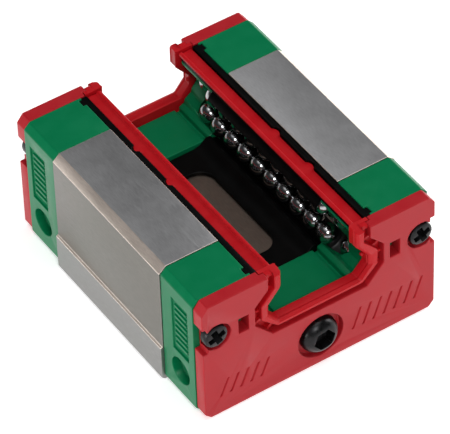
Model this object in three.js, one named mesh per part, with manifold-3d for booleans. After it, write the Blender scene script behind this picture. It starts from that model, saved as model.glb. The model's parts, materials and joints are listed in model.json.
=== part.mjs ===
// Carriage of a four-row recirculating-ball linear guide, in millimetres, +Z up.
// It lies upside down on its mounting face (z = 0) with the rail channel open to +Z.
// The rail runs along Y, X is the width, and the origin is the centre of the mounting face.

import * as THREE from 'three';
import { mergeVertices } from 'three/addons/utils/BufferGeometryUtils.js';
import Module from 'manifold-3d';

const wasm = await Module();
wasm.setup();

// ---- driving dimensions ----

// runner block
const BLOCK_HALF_WIDTH = 17;
const BLOCK_HALF_LENGTH = 11.55;
const BLOCK_TOP = 18.45;
const SIDE_STEP = { z: 5.3, depth: 0.3, rise: 0.2 };
const TOP_CHAMFER = { width: 1.0, height: 0.9 };
const EDGE_BREAK = 0.4;
const CHANNEL_FLOOR = 8.2;
const MOUNT_HOLE = { x: 13, radius: 2, depth: 6, tip: 1.1 };

// end caps, end plates and wiper lips, stacked along Y
const CAP_END = 18.25;
const PLATE_END = 20.05;
const LIP = { top: 18.5, innerEnd: 19.65, bridgeBottom: 17.9, bridgeEnd: 19.25 };
const CAP = { halfWidth: 16.57, bottom: 0.3, top: 18.4, chamfer: 0.8, floor: 9.3 };
const PLATE = { halfWidth: 16.45, bottom: 0.15, top: 18.45, foot: 0.8, chamferX: 0.85, chamferZ: 1.1 };
const SIDE_PANEL = { y0: 13.75, y1: 17.05, z0: 7.4, z1: 15.7, depth: 0.3 };
const OIL_PORT_SIDE = { y: 15.15, z: 4.45, radius: 1.85, depth: 1.2, boreRadius: 1.0, boreDepth: 3.2 };
const OIL_GROOVE = { x: 10.2, z0: 4.2, z1: 5.0, top: 7.6, depth: 1.0 };
const WINDOW = { x0: 10.0, x1: 11.4, z0: 11.8, z1: 14.2 };
const REBATE = { grow: 0.6, depth: 0.65 };
const TONGUE_ROOT = 0.5;
const FIT_GAP = 0.05;

// balls and their circuits: two per side, "low" nearest the mounting face
const BALL_RADIUS = 1.389;
const BALL_PITCH = 2.806;
const BALLS_IN_ROW = 9;
const RACEWAY_RADIUS = 1.45;
const TUBE_RADIUS = 1.55;
const TURN_RADIUS = 2.25;
const TURN_START = 12.63;
const TURN_ANGLES = { rear: [41, 118], front: [62, 139] };
const NECK_RADIUS = 0.3;
const ROW_X = 6.8;
const ROWS = {
  low: { z: 11.0, tilt: -30 },
  high: { z: 15.2, tilt: 0 },
};
// how far each loaded row stands along Y from its middle position
const PHASE = { right_low: -0.4, right_high: 0.5, left_low: 0.3, left_high: -0.6 };

// turnaround guides
const GUIDE = { halfHeight: 1.45, pocketHalfHeight: 1.5, pocketRadius: 1.78 };

// retainers and side seals
const FLOOR_RETAINER = { halfLength: 11.5, windowHalfWidth: 2.4, windowHalfLength: 8.0 };
const BAR_HALF_LENGTH = 10.3;
const STRIP_SLOT = { outer: 8.45, bottom: 16.72 };
const STRIP_HALF_LENGTH = 18.2;
const HOOK = { reach: 0.4, y0: 16.9, y1: 17.9, bottom: 17.4 };
const BUMP = { ys: [0, -7.1], x: 7.45, radius: 0.6, clearance: 0.08 };

// fasteners
const SCREW = { x: 14.5, z: 13.1, headRadius: 1.58, headTop: 20.25, shankRadius: 0.9, shankEnd: 5.2 };
const SCREW_SEAT = { x: 14.4, z: 13.05, radius: 1.9, depth: 1.2, notchX: 15.75, notchZ0: 11.0, notchZ1: 15.0 };
const SCREW_HOLE_GAP = 0.2;
const CROSS = { reach: 1.0, halfWidth: 0.2, depth: 0.7 };
const PLUG = { z: 4.6, headRadius: 2.55, headTop: 21.05, shankRadius: 1.8, shankEnd: 14.3 };
const HEX = { radius: 1.45, depth: 1.3 };
const PLUG_SEAT = { radius: 3.2, depth: 0.95, holeRadius: 2.0 };

// segments round a full circle
const FINE = 32;
const COARSE = 16;
const TUBE_SEGMENTS = 10;
const LOADED_SEGMENTS = 8;
const HIDDEN_SEGMENTS = 6;

// ---- materials ----

const material = (color, roughness, metalness) => new THREE.MeshStandardMaterial({ color, roughness, metalness });
const STEEL = material(0x8a8680, 0.35, 0.9);
const GREEN = material(0x00764c, 0.5, 0);
const RED = material(0xb8303a, 0.5, 0);
const LIP_RED = material(0xc9323c, 0.6, 0);
const BLACK = material(0x17171a, 0.55, 0);
const SCREW_BLACK = material(0x141416, 0.35, 0.4);
const CHROME = material(0xd8dade, 0.08, 1);

// ---- geometry helpers ----

const radians = (degrees) => (degrees * Math.PI) / 180;

// A closed three.js geometry as a manifold solid, without seams or zero-area faces.
function solid(geometry) {
  const bare = geometry.index ? geometry.toNonIndexed() : geometry.clone();
  bare.deleteAttribute('normal');
  bare.deleteAttribute('uv');
  const merged = mergeVertices(bare, 1e-5);
  const index = merged.index.array;
  const triangles = [];
  for (let i = 0; i < index.length; i += 3) {
    const [a, b, c] = [index[i], index[i + 1], index[i + 2]];
    if (a !== b && b !== c && c !== a) triangles.push(a, b, c);
  }
  const vertProperties = new Float32Array(merged.attributes.position.array);
  return new wasm.Manifold(new wasm.Mesh({ numProp: 3, vertProperties, triVerts: new Uint32Array(triangles) }));
}

// A manifold solid as a three.js geometry.
function toGeometry(body) {
  const mesh = body.getMesh();
  const geometry = new THREE.BufferGeometry();
  geometry.setAttribute('position', new THREE.BufferAttribute(mesh.vertProperties, 3));
  geometry.setIndex(new THREE.BufferAttribute(mesh.triVerts, 1));
  const faceted = geometry.toNonIndexed();
  faceted.computeVertexNormals();
  return faceted;
}

const outlineShape = (points) => new THREE.Shape(points.map(([x, z]) => new THREE.Vector2(x, z)));

// An outline in X and Z, extruded along Y from y0 to y1.
function prism(points, y0, y1) {
  const geometry = new THREE.ExtrudeGeometry(outlineShape(points), { depth: y1 - y0, bevelEnabled: false });
  const stand = new THREE.Matrix4().set(1, 0, 0, 0, 0, 0, -1, y1, 0, 1, 0, 0, 0, 0, 0, 1);
  return solid(geometry.applyMatrix4(stand));
}

function box(x0, x1, y0, y1, z0, z1) {
  const geometry = new THREE.BoxGeometry(x1 - x0, y1 - y0, z1 - z0);
  return solid(geometry.translate((x0 + x1) / 2, (y0 + y1) / 2, (z0 + z1) / 2));
}

// A round rod along Y.
function rodY(x, z, radius, y0, y1, segments = FINE) {
  const geometry = new THREE.CylinderGeometry(radius, radius, y1 - y0, segments);
  return solid(geometry.translate(x, (y0 + y1) / 2, z));
}

// A round rod along X.
function rodX(y, z, radius, x0, x1, segments = FINE) {
  const geometry = new THREE.CylinderGeometry(radius, radius, x1 - x0, segments).rotateZ(Math.PI / 2);
  return solid(geometry.translate((x0 + x1) / 2, y, z));
}

// A round rod along Z.
function rodZ(x, y, radius, z0, z1, segments = FINE) {
  const geometry = new THREE.CylinderGeometry(radius, radius, z1 - z0, segments).rotateX(Math.PI / 2);
  return solid(geometry.translate(x, y, (z0 + z1) / 2));
}

const ordered = (a, b) => [Math.min(a, b), Math.max(a, b)];
const mirrored = (points) => points.map(([x, z]) => [-x, z]).reverse();
const cutAll = (body, tools) => tools.reduce((rest, tool) => rest.subtract(tool), body);
const joinAll = (bodies) => bodies.reduce((whole, body) => whole.add(body));
// A body on the +X side, and its mirror image.
const bothSides = (body) => [body, body.mirror([1, 0, 0])];

function node(name, body, finish) {
  const mesh = new THREE.Mesh(toGeometry(body), finish);
  mesh.name = name;
  return mesh;
}

// Points on an arc in the X-Z section, from one angle to another, in degrees.
function arc(cx, cz, radius, from, to, steps) {
  const points = [];
  for (let i = 0; i <= steps; i += 1) {
    const angle = radians(from + ((to - from) * i) / steps);
    points.push([cx + radius * Math.cos(angle), cz + radius * Math.sin(angle)]);
  }
  return points;
}

// ---- runner block ----

// Right half of the channel wall in the block, from the top edge down to the floor.
function blockChannelHalf() {
  const recess = { x: 8.7, z0: 11.6, z1: 14.6 };
  return [
    [STRIP_SLOT.outer, BLOCK_TOP],
    [STRIP_SLOT.outer, STRIP_SLOT.bottom],
    ...arc(ROW_X, ROWS.high.z, RACEWAY_RADIUS, 80, -15, 6),
    [recess.x, recess.z1],
    [recess.x, recess.z0],
    ...arc(ROW_X, ROWS.low.z, RACEWAY_RADIUS, 15, -80, 6),
    [ROW_X, CHANNEL_FLOOR],
  ];
}

function blockOutline() {
  const x = BLOCK_HALF_WIDTH;
  const upper = x - SIDE_STEP.depth;
  const right = [
    [x - EDGE_BREAK, 0],
    [x, EDGE_BREAK],
    [x, SIDE_STEP.z],
    [upper, SIDE_STEP.z + SIDE_STEP.rise],
    [upper, BLOCK_TOP - TOP_CHAMFER.height],
    [upper - TOP_CHAMFER.width, BLOCK_TOP],
    ...blockChannelHalf(),
  ];
  return [...right, ...mirrored(right)];
}

function mountHole(x) {
  const { radius, depth, tip } = MOUNT_HOLE;
  const profile = [[0, -1], [radius, -1], [radius, depth], [0, depth + tip]];
  const lathe = new THREE.LatheGeometry(profile.map(([r, y]) => new THREE.Vector2(r, y)), FINE);
  return solid(lathe.rotateX(Math.PI / 2).translate(x, 0, 0));
}

function returnCentre(side, row) {
  const tilt = radians(row.tilt);
  return [side * (ROW_X + 2 * TURN_RADIUS * Math.cos(tilt)), row.z + 2 * TURN_RADIUS * Math.sin(tilt)];
}

function runnerBlock() {
  const length = BLOCK_HALF_LENGTH;
  const tools = [];
  for (const side of [-1, 1]) {
    tools.push(mountHole(side * MOUNT_HOLE.x));
    for (const row of Object.values(ROWS)) {
      const [x, z] = returnCentre(side, row);
      tools.push(rodY(x, z, TUBE_RADIUS, -length - 1, length + 1, COARSE));
    }
    for (const end of [-1, 1]) {
      const [near, far] = ordered(end * (SCREW.shankEnd - 1), end * (length + 1));
      tools.push(rodY(side * SCREW.x, SCREW.z, SCREW.shankRadius + FIT_GAP, near, far, COARSE));
    }
  }
  return cutAll(prism(blockOutline(), -length, length), tools);
}

// ---- ball circuits ----

// Matrix of a turnaround at the +Y end: local X runs from the loaded row to the return row,
// local Y is the axis the balls turn about, and local Z is the row's +Y.
function turnFrame(side, row) {
  const tilt = radians(row.tilt);
  const u = new THREE.Vector3(side * Math.cos(tilt), 0, Math.sin(tilt));
  const along = new THREE.Vector3(0, 1, 0);
  const normal = new THREE.Vector3().crossVectors(along, u);
  const frame = new THREE.Matrix4().makeBasis(u, normal, along);
  frame.setPosition(side * ROW_X + TURN_RADIUS * u.x, TURN_START, row.z + TURN_RADIUS * u.z);
  return frame;
}

// Balls of one row, strung along Y on thin necks.
function ballRow(count, segments) {
  const start = Math.asin(NECK_RADIUS / BALL_RADIUS);
  const stations = [start, Math.PI / 3, (2 * Math.PI) / 3, Math.PI - start];
  const first = (-(count - 1) / 2) * BALL_PITCH;
  const profile = [new THREE.Vector2(0, first - BALL_RADIUS)];
  for (let i = 0; i < count; i += 1) {
    for (const angle of stations) {
      const y = first + i * BALL_PITCH - BALL_RADIUS * Math.cos(angle);
      profile.push(new THREE.Vector2(BALL_RADIUS * Math.sin(angle), y));
    }
  }
  profile.push(new THREE.Vector2(0, -first + BALL_RADIUS));
  return solid(new THREE.LatheGeometry(profile, segments));
}

// The balls inside one turnaround, in the turn's own frame, turned on from their middle position.
function turnBalls(end, turned) {
  const centres = TURN_ANGLES[end].map((degrees) => {
    const angle = radians(degrees) + turned;
    return new THREE.Vector3(-TURN_RADIUS * Math.cos(angle), 0, TURN_RADIUS * Math.sin(angle));
  });
  const balls = centres.map((centre) => {
    const sphere = new THREE.SphereGeometry(BALL_RADIUS, LOADED_SEGMENTS, 4);
    return solid(sphere.translate(centre.x, centre.y, centre.z));
  });
  const [a, b] = centres;
  const neck = new THREE.CylinderGeometry(NECK_RADIUS, NECK_RADIUS, a.distanceTo(b), 4);
  const aim = new THREE.Quaternion().setFromUnitVectors(
    new THREE.Vector3(0, 1, 0),
    b.clone().sub(a).normalize(),
  );
  neck.applyQuaternion(aim).translate((a.x + b.x) / 2, 0, (a.z + b.z) / 2);
  return joinAll([...balls, solid(neck)]);
}

// Radius of the guide's rim at a height from its middle, where the ball tube cuts into it.
const rimRadius = (height) => TURN_RADIUS - Math.sqrt(TUBE_RADIUS ** 2 - height ** 2);

function guideProfile() {
  const h = GUIDE.halfHeight;
  return [-h, -h * 0.7, 0, h * 0.7, h].map((y) => [rimRadius(y), y]);
}

// Half-round inner guide of one turnaround, in the turn's own frame.
function returnGuide() {
  const rim = guideProfile();
  const h = GUIDE.halfHeight;
  const reach = TURN_START - BLOCK_HALF_LENGTH - FIT_GAP;
  const lathe = new THREE.LatheGeometry(
    [[0, -h], ...rim, [0, h]].map(([r, y]) => new THREE.Vector2(r, y)),
    TUBE_SEGMENTS,
  );
  const round = solid(lathe).intersect(box(-3, 3, -2, 2, 0, 3));
  const outline = [...rim, ...rim.map(([r, y]) => [-r, y]).reverse()];
  const straight = new THREE.ExtrudeGeometry(outlineShape(outline), { depth: reach + FIT_GAP, bevelEnabled: false });
  return round.add(solid(straight.translate(0, 0, -reach)));
}

// Space that one circuit takes out of the end cap, in the turn's own frame.
function turnPocket() {
  const back = TURN_START - BLOCK_HALF_LENGTH + 1;
  const { pocketRadius, pocketHalfHeight } = GUIDE;
  const section = arc(TURN_RADIUS, 0, TUBE_RADIUS, 0, 360, TUBE_SEGMENTS).slice(0, -1);
  const ring = new THREE.LatheGeometry([...section, section[0]].map(([r, y]) => new THREE.Vector2(r, y)), 16);
  const torus = solid(ring).intersect(box(-5, 5, -3, 3, 0, 5));
  const tubes = [section, mirrored(section)].map((points) => {
    const rod = new THREE.ExtrudeGeometry(outlineShape(points), { depth: back + FIT_GAP, bevelEnabled: false });
    return solid(rod.translate(0, 0, -back));
  });
  const spool = new THREE.CylinderGeometry(pocketRadius, pocketRadius, 2 * pocketHalfHeight, TUBE_SEGMENTS);
  const seat = box(-pocketRadius, pocketRadius, -pocketHalfHeight, pocketHalfHeight, -back, FIT_GAP);
  return joinAll([torus, ...tubes, solid(spool), seat]);
}

const placed = (body, frame) => solid(toGeometry(body).applyMatrix4(frame));

// ---- end cap, modelled at the +Y end ----

function capOutline() {
  const { halfWidth, bottom, top, chamfer, floor } = CAP;
  const right = [
    [halfWidth - EDGE_BREAK, bottom],
    [halfWidth, bottom + EDGE_BREAK],
    [halfWidth, top - chamfer],
    [halfWidth - chamfer, top],
    [STRIP_SLOT.outer, top],
    [STRIP_SLOT.outer, STRIP_SLOT.bottom],
    [6.0, STRIP_SLOT.bottom],
    [6.0, 16.3],
    [6.9, 15.6],
    [7.1, 15.0],
    [8.0, 14.2],
    [8.0, 12.5],
    [7.3, 11.7],
    [7.1, 11.0],
    [6.2, 10.4],
    [6.0, 9.8],
    [5.3, 9.5],
    [5.3, 8.8],
    [4.75, 8.8],
    [4.7, floor],
  ];
  return [...right, ...mirrored(right)];
}

// What the +X half of the cap loses: side panel, oil port and groove, hook pocket, screw hole and turnarounds.
function capSideCuts() {
  const edge = CAP.halfWidth;
  const back = BLOCK_HALF_LENGTH - 1;
  const { y, z, radius, depth, boreRadius, boreDepth } = OIL_PORT_SIDE;
  const groove = OIL_GROOVE;
  const grooveWidth = groove.z1 - groove.z0;
  const slot = STRIP_SLOT.outer;
  const hook = { y0: HOOK.y0 - FIT_GAP, y1: HOOK.y1 + FIT_GAP, bottom: HOOK.bottom - FIT_GAP };
  return [
    box(edge - SIDE_PANEL.depth, edge + 1, SIDE_PANEL.y0, SIDE_PANEL.y1, SIDE_PANEL.z0, SIDE_PANEL.z1),
    rodX(y, z, radius, edge - depth, edge + 1),
    rodX(y, z, boreRadius, edge - boreDepth, edge),
    box(groove.x - grooveWidth, groove.x, back, BLOCK_HALF_LENGTH + groove.depth, groove.z0, groove.top),
    box(slot - 1, slot + HOOK.reach + FIT_GAP, hook.y0, hook.y1, hook.bottom, CAP.top + 1),
    rodY(SCREW.x, SCREW.z, SCREW.shankRadius + SCREW_HOLE_GAP, back, CAP_END + 1, COARSE),
    ...Object.values(ROWS).map((row) => placed(turnPocket(), turnFrame(1, row))),
  ];
}

function capCuts() {
  const { x, z0, z1, depth } = OIL_GROOVE;
  const grooveEnd = BLOCK_HALF_LENGTH + depth;
  return [
    rodY(0, PLUG.z, PLUG_SEAT.holeRadius, grooveEnd - FIT_GAP, CAP_END + 1),
    box(-x, x, BLOCK_HALF_LENGTH - 1, grooveEnd, z0, z1),
    ...capSideCuts().flatMap(bothSides),
  ];
}

// Tongue that reaches into the block's recess and stands at the end of the retainer bar.
function capTongue() {
  const points = [
    [7.85, 12.65],
    [8.1, 12.1],
    [8.65, 12.1],
    [8.65, 13.65],
    [8.05, 13.65],
    [7.85, 13.45],
  ];
  return prism(points, BAR_HALF_LENGTH + FIT_GAP, BLOCK_HALF_LENGTH + TONGUE_ROOT);
}

function endCap() {
  const cap = prism(capOutline(), BLOCK_HALF_LENGTH, CAP_END);
  return cutAll(joinAll([cap, ...bothSides(capTongue())]), capCuts());
}

// ---- end plate and wiper lip, modelled at the +Y end ----

// Right half of the section line that the plate's cut-out follows, from the top down to the middle.
const PLATE_EDGE = [[7.2, 20], [7.2, 16.6], [9.1, 14.65], [9.1, 11.6], [6.7, 9.0]];
// The lip's outer edge, the inner edge of its front face, and the inner face that wipes the rail.
const LIP_OUTER = [[6.3, LIP.top], [6.3, 16.3], [8.2, 14.25], [8.2, 11.95], [6.0, 9.95]];
const LIP_FRONT = [[5.65, LIP.top], [5.65, 16.05], [7.55, 13.85], [7.55, 12.3], [5.85, 10.3]];
const LIP_INNER = [[5.3, LIP.top], [5.3, 15.9], [7.1, 13.7], [7.1, 12.1], [5.65, 10.55]];

// A half line and its mirror image, as one line from the right top, round the bottom, to the left top.
const around = (half) => [...half, ...mirrored(half)];

// A half line moved outwards by an amount, its corners mitred.
function grown(half, amount) {
  const last = half.length - 1;
  return half.map((point, i) => {
    const before = half[Math.max(i - 1, 0)];
    const after = i === last ? [0, half[last][1]] : half[i + 1];
    const directions = i === 0 ? [[before, after]] : [[before, point], [point, after]];
    const normals = directions.map(([p, q]) => {
      const length = Math.hypot(q[0] - p[0], q[1] - p[1]);
      return [-(q[1] - p[1]) / length, (q[0] - p[0]) / length];
    });
    const sum = normals.reduce((total, n) => [total[0] + n[0], total[1] + n[1]], [0, 0]);
    const scale = (amount * normals.length) / (sum[0] ** 2 + sum[1] ** 2);
    const factor = normals.length === 1 ? amount : scale;
    return [point[0] + sum[0] * factor, point[1] + sum[1] * factor];
  });
}

// A U-shaped band between an outer and an inner half line.
function band(outer, inner, y0, y1) {
  const inside = around(inner).reverse();
  return prism([...around(outer), ...inside], y0, y1);
}

function plateOutline() {
  const { halfWidth, bottom, top, foot, chamferX, chamferZ } = PLATE;
  const right = [
    [halfWidth - foot, bottom],
    [halfWidth, bottom + foot],
    [halfWidth, top - chamferZ],
    [halfWidth - chamferX, top],
  ];
  return [...right, ...mirrored(right)];
}

function endPlate() {
  const seat = SCREW_SEAT;
  const back = CAP_END - 1;
  const front = PLATE_END + 1;
  const sideTools = [
    box(WINDOW.x0, WINDOW.x1, back, front, WINDOW.z0, WINDOW.z1),
    box(seat.notchX, PLATE.halfWidth + 1, back, front, seat.notchZ0, seat.notchZ1),
    rodY(seat.x, seat.z, seat.radius, PLATE_END - seat.depth, front),
    rodY(SCREW.x, SCREW.z, SCREW.shankRadius + SCREW_HOLE_GAP, back, PLATE_END, COARSE),
  ];
  const tools = [
    prism(around(PLATE_EDGE), back, front),
    prism(around(grown(PLATE_EDGE, REBATE.grow)), back, CAP_END + REBATE.depth),
    rodY(0, PLUG.z, PLUG_SEAT.radius, PLATE_END - PLUG_SEAT.depth, front),
    rodY(0, PLUG.z, PLUG_SEAT.holeRadius, back, PLATE_END),
    ...sideTools.flatMap(bothSides),
  ];
  return cutAll(prism(plateOutline(), CAP_END, PLATE_END), tools);
}

function wiperLip() {
  const back = CAP_END + FIT_GAP;
  const flangeEnd = CAP_END + REBATE.depth - FIT_GAP;
  const flangeEdge = grown(PLATE_EDGE, REBATE.grow - FIT_GAP);
  flangeEdge[0][1] = LIP.top;
  const flange = band(flangeEdge, LIP_INNER, back, flangeEnd);
  const inner = band(LIP_OUTER, LIP_INNER, back, LIP.innerEnd);
  const front = band(LIP_OUTER, LIP_FRONT, back, PLATE_END);
  const [inside, outside] = [LIP_OUTER[0][0] - FIT_GAP, PLATE_EDGE[0][0] - FIT_GAP];
  const bridge = box(inside, outside, back, LIP.bridgeEnd, LIP.bridgeBottom, LIP.top);
  return joinAll([flange, inner, front, ...bothSides(bridge)]);
}

// ---- retainers and side seals ----

// Plate on the channel floor, raised along the loaded rows, with a round-cornered window.
function floorRetainer() {
  const { halfLength, windowHalfWidth, windowHalfLength } = FLOOR_RETAINER;
  const bottom = CHANNEL_FLOOR + FIT_GAP;
  const right = [
    [6.5, bottom],
    [6.5, 9.05],
    [5.75, 9.3],
    [5.45, 9.75],
    [4.8, 9.75],
    [3.9, 9.0],
    [3.0, 8.75],
  ];
  const corner = 2.1;
  const window = new THREE.Shape();
  window.moveTo(-windowHalfWidth, -windowHalfLength + corner);
  window.lineTo(-windowHalfWidth, windowHalfLength - corner);
  window.absarc(-windowHalfWidth + corner, windowHalfLength - corner, corner, Math.PI, Math.PI / 2, true);
  window.absarc(windowHalfWidth - corner, windowHalfLength - corner, corner, Math.PI / 2, 0, true);
  window.absarc(windowHalfWidth - corner, -windowHalfLength + corner, corner, 0, -Math.PI / 2, true);
  window.absarc(-windowHalfWidth + corner, -windowHalfLength + corner, corner, -Math.PI / 2, -Math.PI, true);
  const hole = new THREE.ExtrudeGeometry(window, { depth: 4, bevelEnabled: false, curveSegments: 4 });
  const plate = prism([...right, ...mirrored(right)], -halfLength, halfLength);
  return plate.subtract(solid(hole.translate(0, 0, bottom - 1)));
}

// Bar between the two loaded rows of the +X side.
function retainerBar() {
  const inner = 7.8;
  const outer = 8.65;
  const points = [
    [inner, 12.65],
    [inner, 13.55],
    [8.0, 14.2],
    [8.15, 14.5],
    [outer, 14.5],
    [outer, 11.7],
    [8.15, 11.7],
    [8.0, 12.0],
  ];
  return prism(points, -BAR_HALF_LENGTH, BAR_HALF_LENGTH);
}

// Strip of the +X side that carries the side seal, its foot reaching under the seal over the upper row.
function sealCarrier() {
  const outer = STRIP_SLOT.outer - FIT_GAP;
  const bottom = STRIP_SLOT.bottom + FIT_GAP;
  const points = [
    [6.0, bottom],
    [outer, bottom],
    [outer, 18.3],
    [7.65, 18.3],
    [7.65, 17.25],
    [6.0, 17.25],
  ];
  const hooks = [-1, 1].map((end) => {
    const [y0, y1] = ordered(end * HOOK.y0, end * HOOK.y1);
    return box(outer - HOOK.reach, STRIP_SLOT.outer + HOOK.reach, y0, y1, HOOK.bottom, 18.3);
  });
  const notches = BUMP.ys.map((y) => rodZ(BUMP.x, y, BUMP.radius + BUMP.clearance, 17.25, 19, COARSE));
  return cutAll(joinAll([prism(points, -STRIP_HALF_LENGTH, STRIP_HALF_LENGTH), ...hooks]), notches);
}

// Side seal of the +X side: a flat band with a raised wiping lip along its inner edge and two outer bumps.
function sideSeal() {
  const bottom = 17.3;
  const points = [
    [5.6, 17.9],
    [6.0, bottom],
    [7.6, bottom],
    [7.6, 18.05],
    [6.3, 18.05],
    [6.15, 18.25],
    [5.75, 18.25],
  ];
  const bumps = BUMP.ys.map((y) => rodZ(BUMP.x, y, BUMP.radius, bottom, 18.05, COARSE));
  return joinAll([prism(points, -STRIP_HALF_LENGTH, STRIP_HALF_LENGTH), ...bumps]);
}

// ---- fasteners, modelled at the +Y end ----

function turnedAlongY(profile, x, z, segments) {
  const lathe = new THREE.LatheGeometry(profile.map(([r, y]) => new THREE.Vector2(r, y)), segments);
  return solid(lathe.translate(x, 0, z));
}

// Pan-head screw with a cross recess.
function capScrew() {
  const { x, z, headRadius, headTop, shankRadius, shankEnd } = SCREW;
  const seat = PLATE_END - SCREW_SEAT.depth + FIT_GAP;
  const profile = [
    [0, shankEnd],
    [shankRadius, shankEnd + 0.4],
    [shankRadius, seat],
    [headRadius, seat],
    [headRadius, headTop - 0.55],
    [headRadius * 0.8, headTop - 0.15],
    [0, headTop],
  ];
  const { reach, halfWidth, depth } = CROSS;
  const arms = [[reach, halfWidth], [halfWidth, reach]].map(([halfX, halfZ]) =>
    box(-halfX, halfX, headTop - depth, headTop + 1, -halfZ, halfZ));
  return cutAll(turnedAlongY(profile, 0, 0, COARSE), arms).translate([x, 0, z]);
}

// Button-head socket screw that closes the grease port.
function greasePlug() {
  const { z, headRadius, headTop, shankRadius, shankEnd } = PLUG;
  const seat = PLATE_END - PLUG_SEAT.depth + FIT_GAP;
  const profile = [
    [0, shankEnd],
    [shankRadius, shankEnd + 0.4],
    [shankRadius, seat],
    [headRadius, seat],
    [headRadius, seat + 0.35],
    [headRadius * 0.9, headTop - 0.75],
    [headRadius * 0.65, headTop - 0.15],
    [0, headTop],
  ];
  const socket = rodY(0, 0, HEX.radius, headTop - HEX.depth, headTop + 1, 6);
  return turnedAlongY(profile, 0, 0, COARSE).subtract(socket).translate([0, 0, z]);
}

// ---- assembly ----

const part = new THREE.Group();
const halfTurn = new THREE.Group();
halfTurn.rotation.z = Math.PI;
part.add(halfTurn);

part.add(node('runner_block', runnerBlock(), STEEL));

// The ends are alike: the front one is the rear one turned half round about Z.
for (const [end, holder] of [['rear', part], ['front', halfTurn]]) {
  holder.add(node(`end_cap_${end}`, endCap(), GREEN));
  holder.add(node(`end_plate_${end}`, endPlate(), RED));
  holder.add(node(`wiper_lip_${end}`, wiperLip(), LIP_RED));
  holder.add(node(`grease_plug_${end}`, greasePlug(), SCREW_BLACK));
  for (const side of [-1, 1]) {
    const turned = end === 'front' ? -side : side;
    const hand = turned > 0 ? 'right' : 'left';
    const screw = node(`cap_screw_${end}_${hand}`, capScrew(), SCREW_BLACK);
    screw.position.x = side > 0 ? 0 : -2 * SCREW.x;
    holder.add(screw);
    for (const [level, row] of Object.entries(ROWS)) {
      const onward = (PHASE[`${hand}_${level}`] * (end === 'front' ? -1 : 1)) / TURN_RADIUS;
      const frame = turnFrame(side, row);
      holder.add(node(`return_guide_${end}_${hand}_${level}`, placed(returnGuide(), frame), BLACK));
      holder.add(node(`turn_balls_${end}_${hand}_${level}`, placed(turnBalls(end, onward), frame), CHROME));
    }
  }
}

// The side pieces are alike too: the left ones are the right ones turned half round about Z.
for (const [hand, holder] of [['right', part], ['left', halfTurn]]) {
  holder.add(node(`retainer_bar_${hand}`, retainerBar(), BLACK));
  holder.add(node(`seal_carrier_${hand}`, sealCarrier(), BLACK));
  holder.add(node(`side_seal_${hand}`, sideSeal(), RED));
}
part.add(node('floor_retainer', floorRetainer(), BLACK));

for (const [hand, side] of [['right', 1], ['left', -1]]) {
  for (const [level, row] of Object.entries(ROWS)) {
    const phase = PHASE[`${hand}_${level}`];
    const [returnX, returnZ] = returnCentre(side, row);
    const loaded = node(`loaded_balls_${hand}_${level}`, ballRow(BALLS_IN_ROW, LOADED_SEGMENTS), CHROME);
    loaded.position.set(side * ROW_X, phase, row.z);
    const returning = node(`return_balls_${hand}_${level}`, ballRow(BALLS_IN_ROW, HIDDEN_SEGMENTS), CHROME);
    returning.position.set(returnX, -phase, returnZ);
    part.add(loaded, returning);
  }
}

export default part;
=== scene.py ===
import itertools
import json
import math

import bmesh
import bpy
from mathutils import Matrix, Vector

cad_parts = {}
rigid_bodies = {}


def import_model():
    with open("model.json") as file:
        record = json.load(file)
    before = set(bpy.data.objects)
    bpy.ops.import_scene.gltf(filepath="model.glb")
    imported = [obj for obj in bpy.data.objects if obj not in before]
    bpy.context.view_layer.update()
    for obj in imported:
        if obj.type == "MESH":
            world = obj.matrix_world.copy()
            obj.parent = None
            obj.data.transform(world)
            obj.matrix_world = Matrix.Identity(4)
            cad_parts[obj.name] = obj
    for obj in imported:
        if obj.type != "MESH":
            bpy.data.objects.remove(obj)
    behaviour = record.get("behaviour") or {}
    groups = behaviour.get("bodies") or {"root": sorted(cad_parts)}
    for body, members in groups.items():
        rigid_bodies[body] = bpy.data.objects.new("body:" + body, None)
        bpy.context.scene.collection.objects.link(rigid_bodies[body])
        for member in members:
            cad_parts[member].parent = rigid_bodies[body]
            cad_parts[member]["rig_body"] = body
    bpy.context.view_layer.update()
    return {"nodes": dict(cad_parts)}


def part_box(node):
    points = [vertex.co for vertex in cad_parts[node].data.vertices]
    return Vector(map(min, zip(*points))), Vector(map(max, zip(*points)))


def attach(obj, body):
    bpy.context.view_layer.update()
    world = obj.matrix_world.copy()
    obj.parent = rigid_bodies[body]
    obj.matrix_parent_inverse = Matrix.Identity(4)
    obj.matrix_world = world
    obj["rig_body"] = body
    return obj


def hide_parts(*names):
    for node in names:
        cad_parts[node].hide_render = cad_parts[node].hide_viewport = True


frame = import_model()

MM = 0.001

# ---------------------------------------------------------------- shader helpers


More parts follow.
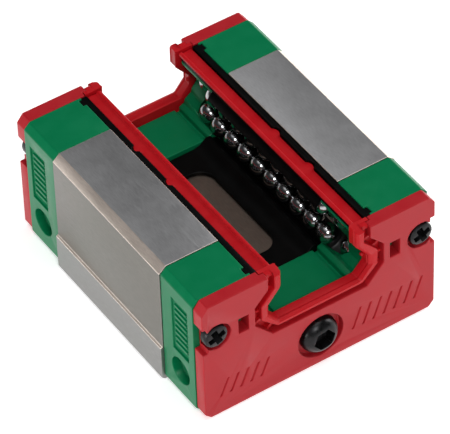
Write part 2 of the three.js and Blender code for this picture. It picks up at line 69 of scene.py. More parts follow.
class Shader:
    """A Principled material with helpers for procedural detail. Texture positions are in millimetres."""

    def __init__(self, name, **settings):
        self.material = bpy.data.materials.new(name)
        self.material.use_nodes = True
        self.tree = self.material.node_tree
        self.tree.nodes.clear()
        self.surface = self.tree.nodes.new("ShaderNodeBsdfPrincipled")
        output = self.tree.nodes.new("ShaderNodeOutputMaterial")
        self.tree.links.new(self.surface.outputs["BSDF"], output.inputs["Surface"])
        for socket, value in settings.items():
            self.surface.inputs[socket.replace("_", " ")].default_value = value
        self.place = self.tree.nodes.new("ShaderNodeTexCoord")

    def link(self, socket, target):
        self.tree.links.new(socket, target)

    def add(self, kind, inputs=(), **attributes):
        node = self.tree.nodes.new(kind)
        for key, value in attributes.items():
            setattr(node, key, value)
        for key, value in dict(inputs).items():
            if isinstance(value, bpy.types.NodeSocket):
                self.link(value, node.inputs[key])
            else:
                node.inputs[key].default_value = value
        return node

    def position(self, stretch=(1.0, 1.0, 1.0)):
        scale = tuple(1000.0 * s for s in stretch)
        mapping = self.add("ShaderNodeMapping", {"Vector": self.place.outputs["Object"], "Scale": scale})
        return mapping.outputs["Vector"]

    def noise(self, scale, stretch=(1.0, 1.0, 1.0), detail=4.0, roughness=0.55, distortion=0.0):
        inputs = {
            "Vector": self.position(stretch),
            "Scale": scale,
            "Detail": detail,
            "Roughness": roughness,
            "Distortion": distortion,
        }
        return self.add("ShaderNodeTexNoise", inputs).outputs["Fac"]

    def remap(self, value, low, high, to_low, to_high):
        inputs = {"Value": value, "From Min": low, "From Max": high, "To Min": to_low, "To Max": to_high}
        return self.add("ShaderNodeMapRange", inputs).outputs["Result"]

    def math(self, operation, a, b=0.0):
        return self.add("ShaderNodeMath", {0: a, 1: b}, operation=operation).outputs["Value"]

    def mix(self, factor, a, b, blend_type="MIX"):
        inputs = {0: factor, 6: a, 7: b}
        return self.add("ShaderNodeMix", inputs, data_type="RGBA", blend_type=blend_type).outputs[2]

    def axes(self, kind):
        return self.add("ShaderNodeSeparateXYZ", {"Vector": self.place.outputs[kind]}).outputs

    def bump(self, height, distance, strength=1.0, normal=None):
        inputs = {"Height": height, "Distance": distance, "Strength": strength}
        if normal is not None:
            inputs["Normal"] = normal
        return self.add("ShaderNodeBump", inputs).outputs["Normal"]

    def edges(self, radius):
        """1 on sharp edges, 0 on flat ground."""
        rounded = self.add("ShaderNodeBevel", {"Radius": radius}, samples=6)
        true_normal = self.add("ShaderNodeNewGeometry").outputs["Normal"]
        dot = self.add(
            "ShaderNodeVectorMath",
            {0: rounded.outputs["Normal"], 1: true_normal},
            operation="DOT_PRODUCT",
        )
        return self.remap(dot.outputs["Value"], 0.995, 0.9, 0.0, 1.0)

    def set(self, **sockets):
        for socket, value in sockets.items():
            self.link(value, self.surface.inputs[socket.replace("_", " ")])
        return self.material


def grey(value):
    return (value, value, value, 1.0)


def rgb(red, green, blue):
    return (red, green, blue, 1.0)


STEP_HEIGHT = 5.3
WINDOW_HEIGHT = 8.8


def ground_steel():
    """Hardened steel: the top fine ground, the sides given a darker base colour than the top as painted
    shade, the reference band along the foot brighter.
    """
    s = Shader("ground_steel", Metallic=1.0)
    normal = s.axes("Normal")
    height = s.axes("Object")["Z"]
    top = s.remap(normal["Z"], 0.9, 0.97, 0.0, 1.0)
    slope = s.remap(normal["Z"], 0.3, 0.5, 0.0, 1.0)
    foot = s.remap(height, (STEP_HEIGHT + 0.05) * MM, (STEP_HEIGHT - 0.05) * MM, 0.0, 1.0)
    # painted shade: the side colours are darker than the top's to offset the white floor's reflection on
    # them; the brighter foot band is the ground reference face
    side = s.mix(foot, rgb(0.205, 0.196, 0.178), rgb(0.290, 0.286, 0.278))
    chamfered = s.mix(slope, side, rgb(0.92, 0.80, 0.71))
    sunk = s.remap(height, (WINDOW_HEIGHT + 0.2) * MM, (WINDOW_HEIGHT - 0.2) * MM, 0.0, 1.0)
    level = s.mix(sunk, rgb(0.56, 0.56, 0.57), rgb(0.25, 0.20, 0.165))
    base = s.mix(top, chamfered, level)
    cloud = s.noise(0.35, detail=5.0)
    grain = s.noise(9.0, stretch=(1.0, 0.12, 1.0), detail=3.0)
    lines = s.noise(5.0, stretch=(6.0, 0.12, 6.0), detail=2.0)
    shade = s.math("MULTIPLY", s.remap(cloud, 0.3, 0.7, 0.98, 1.02), s.remap(grain, 0.3, 0.7, 0.90, 1.08))
    toned = s.mix(1.0, base, shade, "MULTIPLY")
    wear = s.math("MULTIPLY", s.edges(0.12 * MM), s.remap(s.noise(1.6), 0.4, 0.6, 0.2, 0.7))
    colour = s.mix(wear, toned, rgb(0.78, 0.77, 0.75))
    rough = s.math("ADD", s.remap(cloud, 0.3, 0.7, 0.40, 0.43), s.remap(lines, 0.3, 0.7, -0.04, 0.05))
    normal_lines = s.bump(lines, 0.0012 * MM)
    relief = s.bump(s.noise(14.0, detail=2.0), 0.001 * MM, normal=normal_lines)
    return s.set(Base_Color=colour, Roughness=rough, Normal=relief)


def moulded(name, base, light, grain=0.002, rough=(0.36, 0.48), wear_amount=0.35, level=0.5):
    """Moulded plastic with a fine spark-eroded grain, slight mottling, dust specks and rubbed edges."""
    s = Shader(name, Specular_IOR_Level=level)
    mottle = s.noise(0.5, detail=4.0)
    fine = s.noise(7.0, detail=3.0)
    specks = s.remap(s.noise(3.1, detail=1.0), 0.70, 0.76, 0.0, 0.35)
    body = s.mix(s.remap(mottle, 0.3, 0.7, 0.0, 0.3), base, light)
    dusty = s.mix(specks, body, light)
    wear = s.math("MULTIPLY", s.edges(0.15 * MM), s.remap(s.noise(1.3), 0.35, 0.65, 0.1, wear_amount))
    colour = s.mix(wear, dusty, light)
    roughness = s.remap(mottle, 0.3, 0.7, *rough)
    relief = s.bump(fine, grain * MM, normal=s.bump(s.noise(1.1), 0.006 * MM))
    return s.set(Base_Color=colour, Roughness=roughness, Normal=relief)


def chrome():
    """Lapped bearing steel with faint handling haze."""
    s = Shader("ball_chrome", Metallic=1.0)
    haze = s.noise(1.4, detail=3.0)
    colour = s.mix(s.remap(haze, 0.35, 0.65, 0.0, 1.0), grey(0.44), rgb(0.37, 0.38, 0.40))
    return s.set(
        Base_Color=colour,
        Roughness=s.remap(haze, 0.35, 0.65, 0.12, 0.18),
        Normal=s.bump(s.noise(6.0), 0.0004 * MM),
    )


def black_oxide():
    """Blackened screw steel, a little oily, rubbed bright on its edges."""
    s = Shader("screw_black", Metallic=0.6)
    blotch = s.noise(1.2, detail=5.0)
    base = s.mix(s.remap(blotch, 0.35, 0.65, 0.0, 1.0), grey(0.005), rgb(0.014, 0.014, 0.016))
    wear = s.math("MULTIPLY", s.edges(0.1 * MM), s.remap(s.noise(2.2), 0.4, 0.6, 0.1, 0.5))
    colour = s.mix(wear, base, rgb(0.10, 0.10, 0.105))
    return s.set(
        Base_Color=colour,
        Roughness=s.remap(blotch, 0.35, 0.65, 0.24, 0.36),
        Normal=s.bump(s.noise(8.0), 0.0015 * MM),
    )


FINISHES = {
    "ground_steel": ground_steel(),
    "cap_green": moulded(
        "cap_green", rgb(0.0, 0.160, 0.058), rgb(0.002, 0.20, 0.082), rough=(0.30, 0.38), level=0.2
    ),
    "guide_black": moulded("guide_black", grey(0.012), grey(0.03)),
    "plate_red": moulded("plate_red", rgb(0.40, 0.009, 0.016), rgb(0.47, 0.020, 0.026), level=0.25),
    "seal_red": moulded(
        "seal_red", rgb(0.46, 0.003, 0.008), rgb(0.55, 0.018, 0.024), grain=0.001, level=0.2
    ),
    "retainer_black": moulded(
        "retainer_black", grey(0.0008), grey(0.0025), rough=(0.36, 0.46), level=0.1
    ),
    "screw_black": black_oxide(),
    "ball_chrome": chrome(),
}

# ---------------------------------------------------------------- mesh helpers

RIDGE_ANGLE = math.radians(28)
FLAT_ANGLE = math.radians(0.6)
SHORT_EDGE_SHARE = 0.3


def at(x, y, z):
    """A place given in millimetres, as a vector in metres."""
    return Vector((x, y, z)) * MM


def new_object(name, mesh, slot, smooth_angle=35.0):
    mesh.materials.clear()
    mesh.materials.append(FINISHES[slot])
    for polygon in mesh.polygons:
        polygon.use_smooth = True
        polygon.material_index = 0
    mesh.set_sharp_from_angle(angle=math.radians(smooth_angle))
    piece = bpy.data.objects.new(name, mesh)
    bpy.context.scene.collection.objects.link(piece)
    return piece


def soften(bm, width):
    """Marks ridges and valleys for a bevel, narrower by short edges. Ball channels stay sharp."""
    layers = bm.edges.layers.float
    layer = layers.get("bevel_weight_edge") or layers.new("bevel_weight_edge")
    for edge in bm.edges:
        if len(edge.link_faces) != 2 or edge.calc_face_angle(0.0) < RIDGE_ANGLE:
            continue
        if in_ball_channel((edge.verts[0].co + edge.verts[1].co) / 2):
            continue
        near = [e.calc_length() for v in edge.verts for e in v.link_edges]
        edge[layer] = min(1.0, SHORT_EDGE_SHARE * min(near) / width)


def carved(mesh, *cutters):
    """A mesh with closed cutter meshes taken out of it."""
    block = bpy.data.objects.new("block", mesh)
    bpy.context.scene.collection.objects.link(block)
    tools = []
    for cutter in cutters:
        tool = bpy.data.objects.new("tool", cutter)
        bpy.context.scene.collection.objects.link(tool)
        cut = block.modifiers.new("cut", "BOOLEAN")
        cut.operation = "DIFFERENCE"
        cut.solver = "EXACT"
        cut.object = tool
        tools.append(tool)
    graph = bpy.context.evaluated_depsgraph_get()
    result = bpy.data.meshes.new_from_object(block.evaluated_get(graph))
    for extra in (block, *tools):
        bpy.data.objects.remove(extra)
    return result


def refined(node, slot, width, *cutters):
    """A CAD node's own shape, less any cutters, with its flats merged and its edges rounded."""
    source = frame["nodes"][node]
    bm = bmesh.new()
    bm.from_mesh(carved(source.data.copy(), *cutters) if cutters else source.data)
    bmesh.ops.remove_doubles(bm, verts=bm.verts, dist=1e-7)
    bmesh.ops.dissolve_limit(bm, angle_limit=FLAT_ANGLE, verts=bm.verts, edges=bm.edges)
    bmesh.ops.recalc_face_normals(bm, faces=bm.faces)
    soften(bm, width)
    mesh = bpy.data.meshes.new("fine_" + node)
    bm.to_mesh(mesh)
    bm.free()
    piece = new_object("fine_" + node, mesh, slot)
    bevel = piece.modifiers.new("edges", "BEVEL")
    bevel.limit_method = "WEIGHT"
    bevel.width = width
    bevel.segments = 2
    bevel.use_clamp_overlap = False
    bevel.harden_normals = True
    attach(piece, source["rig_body"])
    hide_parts(node)
    return piece


def sphere_into(bm, centre, radius):
    bmesh.ops.create_uvsphere(
        bm, u_segments=32, v_segments=16, radius=radius, matrix=Matrix.Translation(centre)
    )


def stand_in(name, mesh, node, slot, smooth_angle=35.0):
    """Puts a new mesh in a CAD node's place."""
    piece = new_object(name, mesh, slot, smooth_angle)
    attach(piece, frame["nodes"][node]["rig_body"])
    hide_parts(node)
    return piece


def mesh_from(name, build):
    bm = bmesh.new()
    build(bm)
    bmesh.ops.recalc_face_normals(bm, faces=bm.faces)
    mesh = bpy.data.meshes.new(name)
    bm.to_mesh(mesh)
    bm.free()
    return mesh


def loft(bm, rings):
    """Skins a list of closed rings of points, in metres, and caps both ends."""
    rows = [[bm.verts.new(point) for point in ring] for ring in rings]
    count = len(rows[0])
    for lower, upper in zip(rows, rows[1:]):
        for i in range(count):
            j = (i + 1) % count
            bm.faces.new((lower[i], lower[j], upper[j], upper[i]))
    bm.faces.new(rows[0])
    bm.faces.new(rows[-1])


def turned(bm, profile, centre, end, segments=48):
    """Turns a profile of (radius, y), in millimetres, about a line along Y. Its ends are on the axis."""
    x, z = centre

    def point(radius, y, i):
        angle = 2 * math.pi * i / segments
        return at(x + radius * math.cos(angle), end * y, z + radius * math.sin(angle))

    first = bm.verts.new(at(x, end * profile[0][1], z))
    last = bm.verts.new(at(x, end * profile[-1][1], z))
    rings = [[bm.verts.new(point(r, y, i)) for i in range(segments)] for r, y in profile[1:-1]]
    for i in range(segments):
        j = (i + 1) % segments
        bm.faces.new((first, rings[0][i], rings[0][j]))
        bm.faces.new((last, rings[-1][j], rings[-1][i]))
        for lower, upper in zip(rings, rings[1:]):
            bm.faces.new((lower[i], lower[j], upper[j], upper[i]))

# ---------------------------------------------------------------- balls

SIDES = {"right": 1, "left": -1}
ENDS = {"rear": 1, "front": -1}
LEVELS = {"low": (11.0, -30.0), "high": (15.2, 0.0)}
PHASE = {"right_low": -0.4, "right_high": 0.5, "left_low": 0.3, "left_high": -0.6}
ROW_X = 6.8
TURN_RADIUS = 2.25
TURN_START = 12.63
TURN_ANGLES = {"rear": (41.0, 118.0), "front": (62.0, 139.0)}
BALL_RADIUS = 1.389
BALLS_IN_ROW = 9
CHANNEL = {"radius": 1.62, "mouth": 1.2}


def straight_centres(node):
    low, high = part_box(node)
    first, last = low.y + BALL_RADIUS * MM, high.y - BALL_RADIUS * MM
    x, z = (low.x + high.x) / 2, (low.z + high.z) / 2
    step = BALLS_IN_ROW - 1
    return [Vector((x, first + (last - first) * i / step, z)) for i in range(BALLS_IN_ROW)]


def turn_frame(end, side, level):
    """A turnaround's middle, in millimetres, and its directions to the return row and along the rail."""
    height, tilt = LEVELS[level]
    outward = Vector((SIDES[side] * math.cos(math.radians(tilt)), 0, math.sin(math.radians(tilt))))
    along = Vector((0, ENDS[end], 0))
    middle = Vector((SIDES[side] * ROW_X, 0, height)) + TURN_RADIUS * outward + TURN_START * along
    return middle, outward, along


def in_ball_channel(place):
    """Whether a place is on the wall of a turnaround's channel, its straight mouths included."""
    for end, side, level in itertools.product(ENDS, SIDES, LEVELS):
        middle, outward, along = turn_frame(end, side, level)
        offset = place / MM - middle
        ahead = offset.dot(along)
        spread = math.hypot(offset.dot(outward), max(ahead, 0.0)) - TURN_RADIUS
        aside = offset.dot(outward.cross(along))
        if ahead > -CHANNEL["mouth"] and math.hypot(spread, aside) < CHANNEL["radius"]:
            return True
    return False


def turn_centres(end, side, level):
    middle, outward, along = turn_frame(end, side, level)
    swing = ENDS[end] * PHASE[f"{side}_{level}"] / TURN_RADIUS
    centres = []
    for degrees in TURN_ANGLES[end]:
        angle = math.radians(degrees) + swing
        offset = -math.cos(angle) * TURN_RADIUS * outward + math.sin(angle) * TURN_RADIUS * along
        centres.append((middle + offset) * MM)
    return centres


def ball_piece(name, node, centres):
    def build(bm):
        for centre in centres:
            sphere_into(bm, centre, BALL_RADIUS * MM)

    stand_in(name, mesh_from(name, build), node, "ball_chrome", 180.0)


for side in SIDES:
    for level in LEVELS:
        for kind in ("loaded", "return"):
            node = f"{kind}_balls_{side}_{level}"
            ball_piece(f"{kind}_spheres_{side}_{level}", node, straight_centres(node))
        for end in ENDS:
            node = f"turn_balls_{end}_{side}_{level}"
            centres = turn_centres(end, side, level)
            ball_piece(f"turn_spheres_{end}_{side}_{level}", node, centres)

# ---------------------------------------------------------------- wiper lips

# lines of (x, z) round the right half of the rail slot, from the top down
LIP_TOP = 18.45
PLATE_EDGE = ((7.2, LIP_TOP), (7.2, 16.6), (9.1, 14.65), (9.1, 11.6), (6.7, 9.0))
LIP_OUTER = ((6.3, LIP_TOP), (6.3, 16.3), (8.2, 14.25), (8.2, 11.95), (6.0, 9.95))
LIP_FRONT = ((5.65, LIP_TOP), (5.65, 16.05), (7.55, 13.85), (7.55, 12.3), (5.85, 10.3))
LIP_INNER = ((5.28, LIP_TOP), (5.28, 15.9), (7.08, 13.7), (7.08, 12.1), (5.65, 10.55))
NUB = {"at": (6.98, 13.0), "y": 18.5, "radius": 0.3}
BRIDGE = {"x": (6.2, 7.18), "y": (18.35, 19.45), "z": (17.9, 18.42), "chamfer": 0.08}
WEB = {"width": 0.34, "y": (18.7, 19.35), "sink": 0.1}
WEB_PLACES = ((0.12, 1), (0.88, 1), (0.5, 2), (0.15, 3), (0.85, 3))


def between(a, b, share):
    """A line part of the way from one line to another."""
    return tuple((p[0] + (q[0] - p[0]) * share, p[1] + (q[1] - p[1]) * share) for p, q in zip(a, b))


def full_path(half):
    """A half line and its mirror image, as one path."""
    return [Vector(p) for p in half] + [Vector((-x, z)) for x, z in reversed(half)]


def filleted(points, radius, steps=5):
    """A path with its corners rounded, each into the same number of points."""
    path = [points[0]]
    for before, corner, after in zip(points, points[1:], points[2:]):
        a, b = before - corner, after - corner
        turn = a.angle(b)
        reach = min(radius / math.tan(turn / 2), 0.45 * a.length, 0.45 * b.length)
        start, stop = corner + a.normalized() * reach, corner + b.normalized() * reach
        for i in range(steps + 1):
            t = i / steps
            path.append(start * (1 - t) ** 2 + corner * 2 * t * (1 - t) + stop * t**2)
    path.append(points[-1])
    return path


def lip_rails():
    """Lines in order round the lip's section, each with its place along Y and its corner radius."""
    flange = between(PLATE_EDGE, LIP_OUTER, -0.55)
    flange = tuple((x, min(z, LIP_TOP)) for x, z in flange)
    # line, place along Y, corner radius, drop of its upper ends
    rails = (
        (flange, 18.30, 0.5, 0.0),
        (flange, 18.85, 0.5, 0.0),
        (LIP_OUTER, 18.85, 0.5, 0.0),
        (LIP_OUTER, 19.50, 0.5, 0.0),
        (LIP_OUTER, 19.97, 0.5, 0.26),
        (between(LIP_OUTER, LIP_FRONT, 0.12), 20.05, 0.5, 0.34),
        (LIP_FRONT, 20.05, 0.4, 0.36),
        (between(LIP_FRONT, LIP_INNER, 0.93), 19.70, 0.35, 0.34),
        (LIP_INNER, 19.62, 0.35, 0.10),
        (between(LIP_INNER, LIP_OUTER, 0.09), 19.52, 0.35, 0.05),
        (between(LIP_INNER, LIP_OUTER, 0.09), 19.36, 0.35, 0.0),
        (LIP_INNER, 19.26, 0.35, 0.0),
        (between(LIP_INNER, LIP_OUTER, 0.03), 18.72, 0.35, 0.0),
        (between(LIP_INNER, LIP_OUTER, -0.04), 18.55, 0.35, 0.0),
        (between(LIP_INNER, LIP_OUTER, -0.03), 18.42, 0.35, 0.0),
        (between(LIP_INNER, LIP_OUTER, 0.10), 18.33, 0.35, 0.0),
        (LIP_OUTER, 18.30, 0.5, 0.0),
    )
    return [(((half[0][0], half[0][1] - drop), *half[1:]), y, radius) for half, y, radius, drop in rails]


def web(bm, end, inner, outer):
    """A small bridge between the lip and its flange, standing in the groove."""
    inner, outer = Vector(inner), Vector(outer)
    across = (outer - inner).normalized()
    aside = Vector((-across.y, across.x)) * WEB["width"] / 2
    inner, outer = inner - across * WEB["sink"], outer + across * WEB["sink"]
    corners = (inner - aside, outer - aside, outer + aside, inner + aside)
    loft(bm, [[at(p.x, end * y, p.y) for p in corners] for y in WEB["y"]])


def top_bridge(bm, end, side):
    """Joins the lip's upper end to the plate beside it, its upper rim chamfered."""
    (x0, x1), (y0, y1), (z0, z1) = BRIDGE["x"], BRIDGE["y"], BRIDGE["z"]
    chamfer = BRIDGE["chamfer"]
    rings = []
    for z, inset in ((z0, 0.0), (z1 - chamfer, 0.0), (z1, chamfer)):
        corners = ((x0, y0), (x1, y0), (x1, y1 - inset), (x0, y1 - inset))
        rings.append([at(side * x, end * y, z) for x, y in corners])
    loft(bm, rings)


def lip_mesh(end):
    def build(bm):
        rails = [(filleted(full_path(half), radius), y) for half, y, radius in lip_rails()]
        count = len(rails[0][0])
        loft(bm, [[at(path[i].x, end * y, path[i].y) for path, y in rails] for i in range(count)])
        for side in (-1, 1):
            for share, edge in WEB_PLACES:
                ends = []
                for half in (LIP_OUTER, PLATE_EDGE):
                    a, b = Vector(half[edge]), Vector(half[edge + 1])
                    point = a + (b - a) * share
                    ends.append((side * point.x, point.y))
                web(bm, end, *ends)
            top_bridge(bm, end, side)
            x, z = NUB["at"]
            sphere_into(bm, at(side * x, end * NUB["y"], z), NUB["radius"] * MM)

    return mesh_from(f"lip_{end}", build)


for end, direction in ENDS.items():
    node = f"wiper_lip_{end}"
    stand_in(f"wiper_lip_moulding_{end}", lip_mesh(direction), node, "seal_red", 40.0)

# ---------------------------------------------------------------- side seals

SEAL_HALF_LENGTH = 18.2
SEAL_EDGE = 7.5
SEAL_MIDDLE = 6.5
SEAL_END = {"length": 0.12, "pinch": 0.06}
LOBES = {"right": (0.0, -7.1), "left": (0.0, 7.1)}
LOBE = {"half_length": 0.775, "reach": 0.42, "fullness": 0.6}
LOBE_STATIONS = [0.08 * i for i in range(-10, 11)]


def lobe(distance):
    """How far the seal's outer edge stands out near a lobe's middle."""
    share = distance / LOBE["half_length"]
    if abs(share) >= 1.0:
        return 0.0
    return LOBE["reach"] * math.cos(0.5 * math.pi * share) ** LOBE["fullness"]


def seal_section(edge):
    """The seal's section in (x, z), from the slot's side over the top to its outer edge."""
    return (
        (5.62, 17.90),
        (5.66, 18.14),
        (5.76, 18.24),
        (5.98, 18.24),
        (6.10, 18.15),
        (6.16, 18.00),
        (6.50, 17.98),
        (edge - 0.14, 18.05),
        (edge - 0.03, 18.01),
        (edge, 17.90),
        (edge, 17.32),
        (6.02, 17.32),
    )


def seal_mesh(hand):
    side = SIDES[hand]
    stations = {end * (SEAL_HALF_LENGTH - inset) for end in (-1, 1) for inset in (0.0, SEAL_END["length"])}
    for middle in LOBES[hand]:
        stations.update(middle + step for step in LOBE_STATIONS)
    stations.update(range(-18, 19))

    def build(bm):
        rings = []
        for y in sorted(stations):
            reach = max(lobe(y - middle) for middle in LOBES[hand])
            pinch = SEAL_END["pinch"] if abs(y) == SEAL_HALF_LENGTH else 0.0
            section = seal_section(SEAL_EDGE + reach)
            pinched = [(x + (pinch if x < SEAL_MIDDLE else -pinch), z - pinch) for x, z in section]
            rings.append([at(side * x, y, z) for x, z in pinched])
        loft(bm, rings)

    return mesh_from(f"seal_{hand}", build)


for hand in SIDES:
    stand_in(f"side_seal_strip_{hand}", seal_mesh(hand), f"side_seal_{hand}", "seal_red", 50.0)

# ---------------------------------------------------------------- screws

SCREW_AT = (14.5, 13.1)
SCREW_PROFILE = (
    (0.0, 5.2), (0.7, 5.2), (0.9, 5.6), (0.9, 18.9), (1.4, 18.9), (1.55, 18.98), (1.58, 19.1),
    (1.58, 19.85), (1.53, 19.98), (1.40, 20.08), (1.15, 20.14), (0.7, 20.18), (0.0, 20.2),
)
# place along Y, reach of an arm and half its width, from above the mouth to the floor
CROSS_SECTIONS = ((20.6, 1.3, 0.5), (20.05, 1.15, 0.42), (18.7, 0.7, 0.26))
CROSS_TURN = math.radians(22)
PLUG_AT = (0.0, 4.6)
PLUG_PROFILE = (
    (0.0, 14.3), (1.5, 14.3), (1.8, 14.7), (1.8, 19.15), (2.3, 19.15), (2.48, 19.2), (2.55, 19.32),
    (2.55, 19.5), (2.50, 19.8), (2.38, 20.1), (2.20, 20.38), (1.95, 20.63), (1.70, 20.80),
    (1.45, 20.88), (1.0, 20.91), (0.0, 20.92),
)
# place along Y and radius to the corners, from above the mouth to the drill point
HEX_SECTIONS = ((21.4, 1.62), (20.62, 1.5), (19.5, 1.45), (19.05, 0.1))
HEX_TURN = 10


def cross_recess(bm, centre, end):
    """A four-armed recess that narrows towards its floor."""
    x, z = centre
    cosine, sine = math.cos(CROSS_TURN), math.sin(CROSS_TURN)
    rings = []
    for y, arm, half in CROSS_SECTIONS:
        outline = ((arm, -half), (arm, half), (half, half), (half, arm), (-half, arm), (-half, half))
        outline += tuple((-a, -b) for a, b in outline)
        rings.append(
            [at(x + a * cosine - b * sine, end * y, z + a * sine + b * cosine) for a, b in outline]
        )
    loft(bm, rings)


def screw_mesh(centre, end):
    body = mesh_from("screw", lambda bm: turned(bm, SCREW_PROFILE, centre, end))
    recess = mesh_from("recess", lambda bm: cross_recess(bm, centre, end))
    return carved(body, recess)


def hex_recess(bm, centre, end):
    """A six-sided recess with a pointed floor."""
    x, z = centre
    corners = [math.radians(60 * i + HEX_TURN) for i in range(6)]
    rings = []
    for y, radius in HEX_SECTIONS:
        rings.append([at(x + radius * math.cos(a), end * y, z + radius * math.sin(a)) for a in corners])
    loft(bm, rings)


def plug_mesh(end):
    body = mesh_from("plug", lambda bm: turned(bm, PLUG_PROFILE, PLUG_AT, end, 64))
    socket = mesh_from("socket", lambda bm: hex_recess(bm, PLUG_AT, end))
    return carved(body, socket)


for end, direction in ENDS.items():
    stand_in(f"grease_plug_screw_{end}", plug_mesh(direction), f"grease_plug_{end}", "screw_black", 30.0)
    for hand, side in SIDES.items():
        node = f"cap_screw_{end}_{hand}"
        mesh = screw_mesh((side * SCREW_AT[0], SCREW_AT[1]), direction)
        stand_in(f"cap_screw_head_{end}_{hand}", mesh, node, "screw_black", 30.0)

# ---------------------------------------------------------------- rigid parts

PLATE_FACE = 20.05
HATCH_FIELDS = (
    {"x": (4.6, 14.6), "z": (3.0, 6.1), "count": 7},
    {"x": (-14.2, -7.4), "z": (2.9, 5.5), "count": 5},
)
HATCH_LEAN = 1.1
# distance from the plate's face and half the groove's width there
HATCH_SECTIONS = ((-0.2, 0.126), (0.2, 0.2604))
PANEL = {"y": (14.1, 16.7), "z": (8.0, 15.1), "x": 16.57, "depth": 0.3, "count": 8}
# distance in from the cap's side and half the rib's height there, as a share of the pitch
RIB_SECTIONS = ((PANEL["depth"] + 0.02, 0.27), (0.1, 0.15))
HOOD = {"inner": 1.45, "outer": 1.60, "from": 22.0, "to": 84.0, "steps": 12, "half_length": 11.5}


def hatch_cutter(end):
    """Plain slanted grooves across two fields of the end plate's face."""
    def build(bm):
        for field in HATCH_FIELDS:
            (x0, x1), (z0, z1) = field["x"], field["z"]
            for i in range(field["count"]):
                foot = x0 + (x1 - x0 - HATCH_LEAN) * i / (field["count"] - 1)
                head = foot + HATCH_LEAN
                rings = []
                for stand, half in HATCH_SECTIONS:
                    corners = ((foot - half, z0), (foot + half, z0), (head + half, z1), (head - half, z1))
                    rings.append([at(-end * x, end * (PLATE_FACE + stand), z) for x, z in corners])
                loft(bm, rings)

    return mesh_from(f"hatch_{end}", build)


def panel_ribs(end, side):
    """Plain ribs that stand on the floor of a cap's side panel."""
    (y0, y1), (z0, z1) = PANEL["y"], PANEL["z"]
    pitch = (z1 - z0) / PANEL["count"]
    root = RIB_SECTIONS[0][1]

    def build(bm):
        for i in range(PANEL["count"]):
            middle = z0 + pitch * (i + 0.5)
            rings = []
            for sunk, half in RIB_SECTIONS:
                near, far = y0 + root - half, y1 - root + half
                low, high = middle - pitch * half, middle + pitch * half
                corners = ((near, low), (far, low), (far, high), (near, high))
                rings.append([at(side * (PANEL["x"] - sunk), end * y, z) for y, z in corners])
            loft(bm, rings)

    return mesh_from(f"ribs_{end}_{side}", build)


def hood_mesh(side):
    """Thin shell that keeps the upper row's balls in the block when the carriage is off its rail."""
    span = HOOD["to"] - HOOD["from"]
    angles = [math.radians(HOOD["from"] + span * i / HOOD["steps"]) for i in range(HOOD["steps"] + 1)]
    outline = [(HOOD["inner"], angle) for angle in angles]
    outline += [(HOOD["outer"], angle) for angle in reversed(angles)]
    height = LEVELS["high"][0]

    def build(bm):
        rings = []
        for y in (-HOOD["half_length"], HOOD["half_length"]):
            rings.append(
                [at(side * (ROW_X - r * math.cos(a)), y, height + r * math.sin(a)) for r, a in outline]
            )
        loft(bm, rings)

    return mesh_from(f"hood_{side}", build)


refined("runner_block", "ground_steel", 0.10 * MM)
for end in ENDS:
    refined(f"end_cap_{end}", "cap_green", 0.16 * MM)
    refined(f"end_plate_{end}", "plate_red", 0.14 * MM, hatch_cutter(ENDS[end]))
    for side in SIDES:
        for level in LEVELS:
            refined(f"return_guide_{end}_{side}_{level}", "guide_black", 0.10 * MM)
for hand, side in SIDES.items():
    hood = new_object(f"upper_row_hood_{hand}", hood_mesh(side), "retainer_black")
    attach(hood, frame["nodes"][f"seal_carrier_{hand}"]["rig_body"])
for end, direction in ENDS.items():
    for hand, side in SIDES.items():
        ribs = new_object(f"panel_ribs_{end}_{hand}", panel_ribs(direction, side), "cap_green")
        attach(ribs, frame["nodes"][f"end_cap_{end}"]["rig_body"])
for side in SIDES:
    refined(f"retainer_bar_{side}", "retainer_black", 0.08 * MM)
    refined(f"seal_carrier_{side}", "retainer_black", 0.10 * MM)
refined("floor_retainer", "retainer_black", 0.12 * MM)

# ---------------------------------------------------------------- stage, lights and camera


FLOOR_REACH = 6.0
# how far up the sky, from straight down to straight up, and its brightness there
SKY_STOPS = ((0.0, 0.75), (0.12, 0.55), (0.25, 0.05), (0.80, 0.05), (0.95, 0.9))


def stage_floor():
    bm = bmesh.new()
    bmesh.ops.create_grid(bm, x_segments=1, y_segments=1, size=FLOOR_REACH)
    mesh = bpy.data.meshes.new("floor")
    bm.to_mesh(mesh)
    bm.free()
    floor = bpy.data.objects.new("floor", mesh)
    bpy.context.scene.collection.objects.link(floor)
    s = Shader("pale_floor")
    tone = s.mix(s.noise(0.02), grey(0.86), grey(0.90))
    s.surface.inputs["Emission Color"].default_value = grey(1.0)
    s.surface.inputs["Emission Strength"].default_value = 0.5
    mesh.materials.append(s.set(Base_Color=tone, Roughness=s.remap(s.noise(0.05), 0.3, 0.7, 0.75, 0.9)))


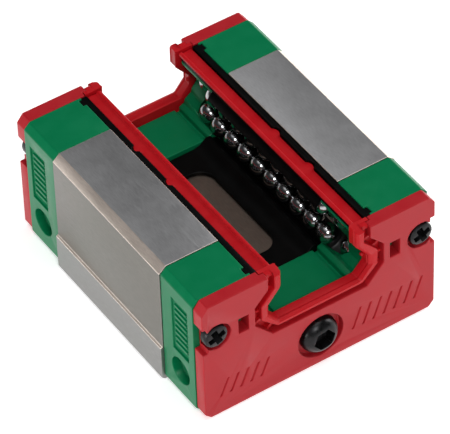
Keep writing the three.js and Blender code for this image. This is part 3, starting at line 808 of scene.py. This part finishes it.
def world_light():
    world = bpy.data.worlds.new("studio")
    bpy.context.scene.world = world
    world.use_nodes = True
    tree = world.node_tree
    tree.nodes.clear()
    place = tree.nodes.new("ShaderNodeTexCoord")
    split = tree.nodes.new("ShaderNodeSeparateXYZ")
    ramp = tree.nodes.new("ShaderNodeValToRGB")
    background = tree.nodes.new("ShaderNodeBackground")
    output = tree.nodes.new("ShaderNodeOutputWorld")
    tree.links.new(place.outputs["Generated"], split.inputs["Vector"])
    tree.links.new(split.outputs["Z"], ramp.inputs["Fac"])
    tree.links.new(ramp.outputs["Color"], background.inputs["Color"])
    tree.links.new(background.outputs["Background"], output.inputs["Surface"])
    elements = ramp.color_ramp.elements
    for i, (place_at, level) in enumerate(SKY_STOPS):
        element = elements[i] if i < 2 else elements.new(place_at)
        element.position = place_at
        element.color = grey(level)


def softbox(name, location, size, power, target=(0.0, 0.0, 0.01)):
    light = bpy.data.lights.new(name, "AREA")
    light.shape = "RECTANGLE"
    light.size, light.size_y = size
    light.energy = power
    lamp = bpy.data.objects.new(name, light)
    lamp.location = location
    lamp.rotation_mode = "QUATERNION"
    lamp.rotation_quaternion = (Vector(target) - Vector(location)).to_track_quat("-Z", "Y")
    bpy.context.scene.collection.objects.link(lamp)


CAMERA = {
    "azimuth": -32.3247,
    "elevation": 44.5512,
    "roll": -2.1289,
    "distance": 0.495549,
    "target": (-0.0002835, -0.0003401, 0.0085509),
    "lens": 330.563,
}


def camera():
    azimuth, elevation, roll = (math.radians(CAMERA[k]) for k in ("azimuth", "elevation", "roll"))
    ahead, rise = math.cos(elevation), math.sin(elevation)
    back = Vector((math.sin(azimuth) * ahead, -math.cos(azimuth) * ahead, rise))
    level_right = Vector((math.cos(azimuth), math.sin(azimuth), 0.0))
    level_up = back.cross(level_right)
    right = level_right * math.cos(roll) + level_up * math.sin(roll)
    up = level_up * math.cos(roll) - level_right * math.sin(roll)
    data = bpy.data.cameras.new("camera")
    data.lens = CAMERA["lens"]
    data.sensor_width = 36.0
    data.clip_start, data.clip_end = 0.05, 20.0
    eye = bpy.data.objects.new("camera", data)
    place = Matrix((right, up, back)).transposed().to_4x4()
    place.translation = Vector(CAMERA["target"]) + back * CAMERA["distance"]
    eye.matrix_world = place
    bpy.context.scene.collection.objects.link(eye)
    bpy.context.scene.camera = eye


stage_floor()
world_light()
softbox("key", (-0.17, -0.41, 0.42), (0.16, 0.18), 1.15)
softbox("right", (0.60, 0.04, 0.24), (0.40, 0.30), 3.0)
softbox("overhead", (0.0, -0.05, 0.62), (0.34, 0.34), 0.7)
softbox("left", (-0.60, 0.02, 0.09), (0.40, 0.16), 1.4)
camera()
bpy.context.scene.view_settings.view_transform = "Standard"
